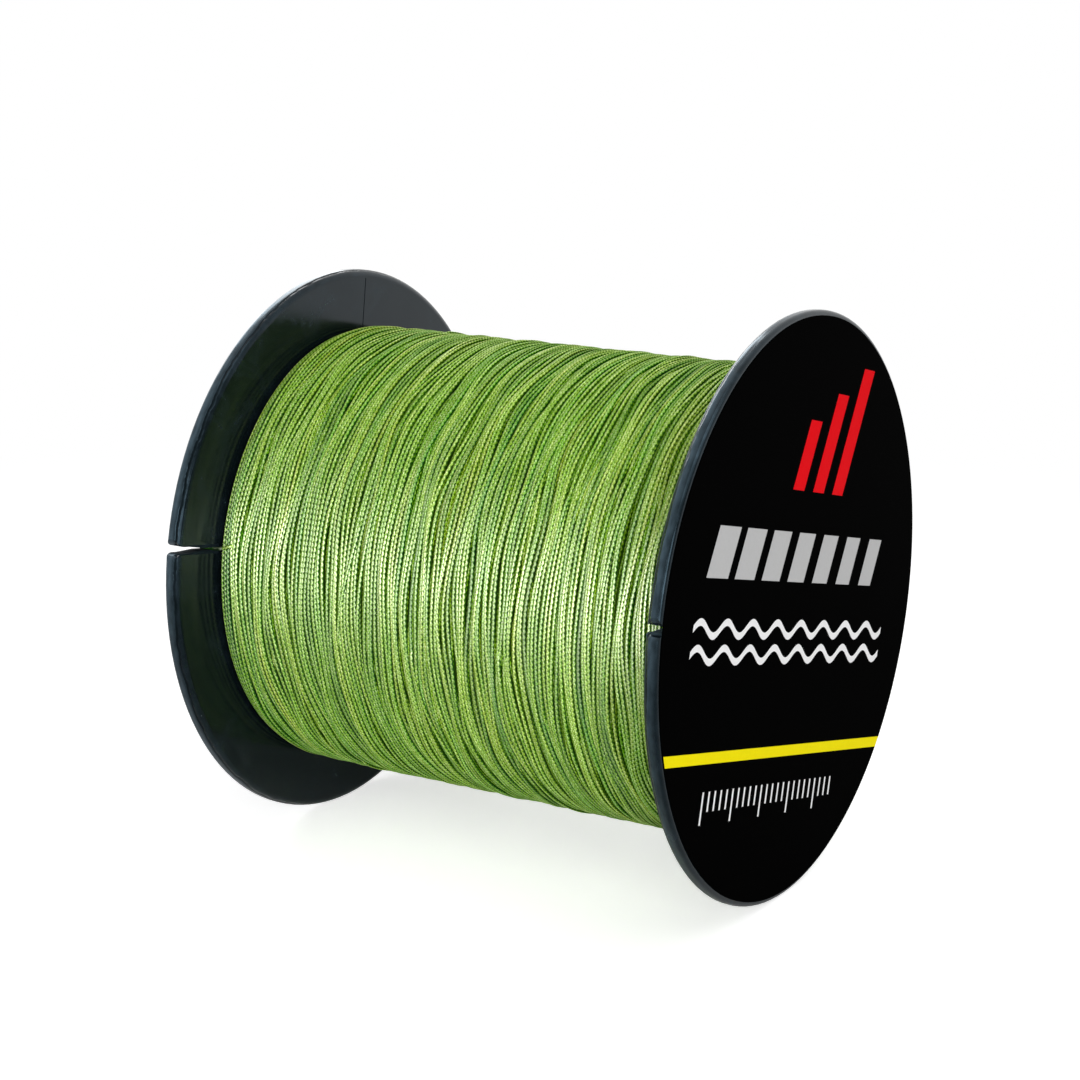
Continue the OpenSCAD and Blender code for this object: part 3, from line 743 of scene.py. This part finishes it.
def turns_pieces(name, rng, turns, rings, sides, drop, swings, pieces, way=1, painted_shade_offset=0.0):
    """Lays a wound layer as a few pieces of whole turns each. The length along the line is the turn
    times the circumference, plus a drift of up to a stitch. The dye drifts, and the line is painted
    paler where it is lifted and darker where it sinks, painted light and shade. The shade offset
    paints the whole layer darker, painted shade."""
    turn, path, out, across, lift = helix(rng, turns, rings, drop, swings, way)
    along = turn * 2 * np.pi * WIND_R + drift(rng, turn, *SLIPPING)
    dye_and_painted_light = painted_shade_offset + DYE_MIDDLE + drift(rng, turn, *DYE_LONG) + drift(rng, turn, *DYE_SHORT)
    dye_and_painted_light += LIFT_PAINTED_LIGHT * lift
    dye_and_painted_light += sway(path[:, 1], turn * 2 * np.pi, ripples(rng, *TONES))
    made = []
    for k in range(pieces):
        first, last = turns * k // pieces, turns * (k + 1) // pieces
        part = slice(first * rings, last * rings + 1)
        made.append(lay_line(f"{name}_{k + 1}", path[None, part], out[None, part],
                             across[None, part] * way, along[None, part], dye_and_painted_light[None, part], sides,
                             last - first))
    return made


EDGE_GAP = 0.03
CALM_MM = 2.5
END_DIVE = 0.35
DIVE_TURNS = 0.05
SLOPE_STEP = 0.01
LEAST_SWING = 0.4
# Waves over the winding: their count, swing, waves per millimetre and waves round the axis.
WANDER = (12, 0.07, (0.01, 0.07), 8)
SHOVED = (14, 0.095, (0.05, 0.25), 14)
BUNCHING = (22, 0.042, (0.25, 0.7), 7)
JITTER = (30, 0.010, (0.7, 1.1), 9)
SWELLS = (10, 0.020, (0.08, 0.3), 5)
TONES = (12, 0.09, (0.1, 0.5), 3)
# Drifts along the line: their reach in turns, and their swing.
STRAYING = ((0.2, 0.14), (0.06, 0.06))
RIDING = ((0.1, 0.09), (0.03, 0.012))
SLIPPING = (0.45, PICK_MM)
DYE_LONG = (0.8, 0.3)
DYE_SHORT = (0.1, 0.2)
DYE_MIDDLE = 0.5
# Raised turns are painted lighter and sunk ones darker, by this much per millimetre of lift: painted light
# and shade.
LIFT_PAINTED_LIGHT = 2.0
UNDER_TURNS, UNDER_RINGS, UNDER_SIDES, UNDER_DROP = 126, 160, 6, 0.42
# The turns beneath are painted darker all over: painted shade from the top turns above them.
UNDER_PAINTED_SHADE = -0.3
OUTER_TURNS, OUTER_RINGS, OUTER_SIDES, OUTER_DROP = 129, 240, 8, 0.16
UNDER_SEED, OUTER_SEED, CROSSING_SEED = 41, 17, 5

rng = np.random.default_rng(UNDER_SEED)
turns_pieces("line_under_turns", rng, UNDER_TURNS, UNDER_RINGS, UNDER_SIDES, UNDER_DROP,
             [WANDER, SHOVED], pieces=2, way=-1, painted_shade_offset=UNDER_PAINTED_SHADE)
rng = np.random.default_rng(OUTER_SEED)
outer = turns_pieces("line_outer_turns", rng, OUTER_TURNS, OUTER_RINGS, OUTER_SIDES, OUTER_DROP,
                     [WANDER, SHOVED, BUNCHING, JITTER], pieces=4)
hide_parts("line_outer_layer")
for piece in outer:
    in_strip_light.objects.link(piece)

# A few lengths come up from between the turns, slant over their neighbours and dive back.
CROSSINGS = 18
CROSSING_RINGS = 120
CROSSING_Y = 25
CROSSING_ROUND = (0.6, 2.0)
CROSSING_SHIFT = (0.7, 2.4)
CROSSING_RISE = 0.02
CROSSING_DIVE = 0.5
CROSSING_DIVE_PART = 0.12
CROSSING_DYE = (0.35, 0.8)

rng = np.random.default_rng(CROSSING_SEED)
each = (CROSSINGS, 1)
k = np.linspace(0, 1, CROSSING_RINGS)
first_t, first_y = rng.uniform(0, 2 * np.pi, each), rng.uniform(-CROSSING_Y, CROSSING_Y, each)
t = first_t + rng.uniform(*CROSSING_ROUND, each) * k
y = first_y + rng.choice((-1, 1), each) * rng.uniform(*CROSSING_SHIFT, each) * eased(k)
dive = CROSSING_DIVE * (2 - eased(k / CROSSING_DIVE_PART) - eased((1 - k) / CROSSING_DIVE_PART))
r = (wound_radius(y) + CROSSING_RISE - dive)[:, :, None]
radial = np.stack([np.cos(t), 0 * t, np.sin(t)], 2)
axial = np.array([0.0, 1.0, 0.0]) + 0 * radial
crossing_dye = rng.uniform(*CROSSING_DYE, each) + 0 * t
crossings = lay_line("line_crossings", radial * r + axial * y[:, :, None], radial, axial, t * WIND_R,
                     crossing_dye, OUTER_SIDES, 1)
in_strip_light.objects.link(crossings)

# ---------------------------------------------------------------- line's end
# The line's end comes up from under a turn near the rear flange, runs over the last turns, and is
# pulled into the flange's slit, where it is held by its own thickness.
# Places are given as an angle in degrees, a y and, in the slit and for the bend's handles, a radius.
TAIL_FROM = (169.6, 27.5)
TAIL_BEND = (170.8, 29.4)
TAIL_HANDLES = ((0.1, 0.3, -0.05), (0.0, 0.3, 0.1))
TAIL_R = 27.55
TAIL_IN_Y = 30.2
TAIL_END_Y = 31.98
TAIL_RISE = 0.12
TAIL_DIVE = 0.6
TAIL_DIVE_PART = 0.3
TAIL_RINGS = (61, 30, 12)
TAIL_SIDES = 10
TURNING_RINGS = 28
# At these rings the end is painted pale on the turns and in the slit, painted highlights, and dark in the
# bend between, painted shadow.
TAIL_LIGHT_AND_SHADE_RINGS = (50, 60, 88, 94)
TAIL_LIGHT_AND_SHADE = (0.9, -0.9, -0.9, 0.8)

# It lies on the turns, takes a cubic Bezier bend into the slit, and runs straight through it.
k = np.linspace(0, 1, TAIL_RINGS[0])
lying_t = TAIL_FROM[0] + (TAIL_BEND[0] - TAIL_FROM[0]) * k
lying_y = TAIL_FROM[1] + (TAIL_BEND[1] - TAIL_FROM[1]) * k
lying_r = wound_radius(lying_y) + TAIL_RISE - TAIL_DIVE * (1 - eased(k / TAIL_DIVE_PART))
lying = np.stack([lying_t, lying_y, lying_r], 1)
k = np.linspace(0, 1, TAIL_RINGS[1] + 1)[1:, None]
start, end = lying[-1], np.array([SLIT_ANGLE, TAIL_IN_Y, TAIL_R])
near, far = start + TAIL_HANDLES[0], end - TAIL_HANDLES[1]
bend = (1 - k) ** 3 * start + 3 * (1 - k) ** 2 * k * near + 3 * (1 - k) * k ** 2 * far + k ** 3 * end
k = np.linspace(0, 1, TAIL_RINGS[2] + 1)[1:]
through_slit = np.stack([SLIT_ANGLE + 0 * k, TAIL_IN_Y + (TAIL_END_Y - TAIL_IN_Y) * k, TAIL_R + 0 * k], 1)
t, y, r = np.concatenate([lying, bend, through_slit]).T
t = np.radians(t)
radial = np.stack([np.cos(t), 0 * t, np.sin(t)], 1)
path = radial * r[:, None] + np.array([0.0, 1.0, 0.0]) * y[:, None]
ahead = np.gradient(path, axis=0)
ahead /= np.linalg.norm(ahead, axis=1)[:, None]
flat = radial - ahead * (radial * ahead).sum(1)[:, None]
flat /= np.linalg.norm(flat, axis=1)[:, None]
edge = np.cross(ahead, flat)
# The flat line turns on edge by a quarter turn in the bend, as the slit asks.
quarter = (np.pi / 2 * eased((np.arange(len(t)) - TAIL_RINGS[0]) / TURNING_RINGS))[:, None]
out = flat * np.cos(quarter) + edge * np.sin(quarter)
across = edge * np.cos(quarter) - flat * np.sin(quarter)
along = np.concatenate([[0], np.cumsum(np.linalg.norm(np.diff(path, axis=0), axis=1))])
tail_light_and_shade = np.interp(np.arange(len(t)), TAIL_LIGHT_AND_SHADE_RINGS, TAIL_LIGHT_AND_SHADE)
tail = lay_line("line_end", path[None], out[None], across[None], along[None], tail_light_and_shade[None],
                TAIL_SIDES, 1)
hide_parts("line_tail")
in_strip_light.objects.link(tail)
